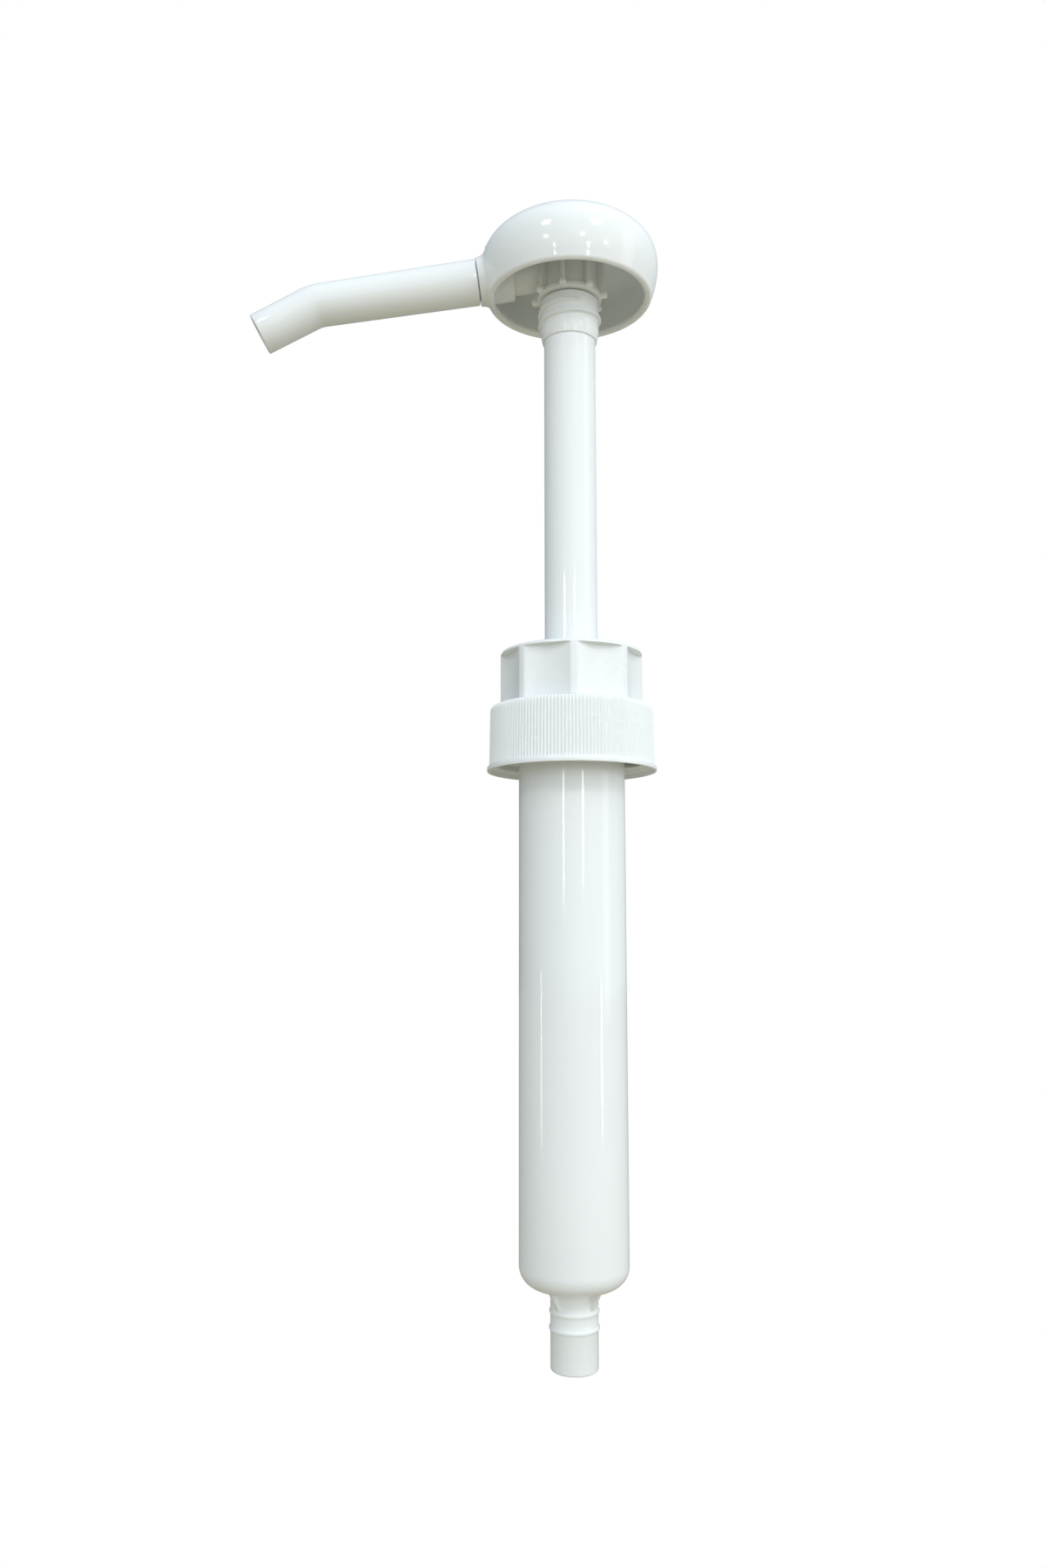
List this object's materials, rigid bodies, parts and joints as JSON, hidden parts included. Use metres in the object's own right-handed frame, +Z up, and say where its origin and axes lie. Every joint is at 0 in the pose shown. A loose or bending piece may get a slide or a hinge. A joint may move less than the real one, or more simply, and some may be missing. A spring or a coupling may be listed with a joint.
{
  "type": "condiment pump dispenser",
  "caption": "White plastic lift pump for a sauce jug: press-down dome head with bent spout, stem, fluted collar nut, ribbed screw cap and long barrel with inlet spigot.",
  "frame": {"origin": "on the pump's axis at the underside of the neck gasket, the plane where the container's neck presses", "axes": "+Z up along the stem towards the head, -X towards the spout at rest, +Y completes the right-handed frame"},
  "size_m": [0.1065, 0.0462, 0.2872],
  "materials": {
    "white_gloss": "glossy moulded polypropylene, faint flow ripple",
    "natural_plastic": "uncoloured moulded polypropylene, satin",
    "seal_rubber": "soft food-grade seal material, matt",
    "spring_steel": "drawn stainless wire",
    "ball_steel": "polished stainless"
  },
  "bodies": {
    "pump_body": {"barrel": "white_gloss", "neck_gasket": "seal_rubber", "collar_nut": "white_gloss", "stem_bush": "natural_plastic", "stem_wiper": "seal_rubber", "bush_gasket": "seal_rubber", "upstroke_washer": "seal_rubber", "ball_cage": "natural_plastic", "return_spring": "spring_steel"},
    "closure": {"closure_cap": "white_gloss"},
    "piston": {"piston_core": "natural_plastic", "piston_cup_upper": "seal_rubber", "piston_cup_lower": "seal_rubber", "piston_retainer": "natural_plastic", "spring_washer": "natural_plastic"},
    "head": {"head_dome": "white_gloss", "spout": "white_gloss", "stem": "white_gloss", "outlet_cage": "natural_plastic"},
    "outlet_valve": {"outlet_ball": "ball_steel"},
    "inlet_valve": {"inlet_ball": "ball_steel"}
  },
  "joints": [
    {"name": "plunger_slide", "type": "slide", "parent": "pump_body", "child": "piston", "axis": [0, 0, -1], "range_m": [0, 0.084], "stiffness_N_per_m": 250, "springref_m": -0.035, "deforming": ["return_spring"]},
    {"name": "head_swivel", "type": "hinge", "parent": "piston", "child": "head", "pos_m": [0, 0, 0], "axis": [0, 0, 1], "continuous": true},
    {"name": "cap_spin", "type": "hinge", "parent": "pump_body", "child": "closure", "pos_m": [0, 0, 0], "axis": [0, 0, 1], "continuous": true},
    {"name": "outlet_ball_lift", "type": "slide", "parent": "piston", "child": "outlet_valve", "axis": [0, 0, 1], "range_m": [0, 0.003]},
    {"name": "inlet_ball_lift", "type": "slide", "parent": "pump_body", "child": "inlet_valve", "axis": [0, 0, 1], "range_m": [0, 0.0024]}
  ]
}
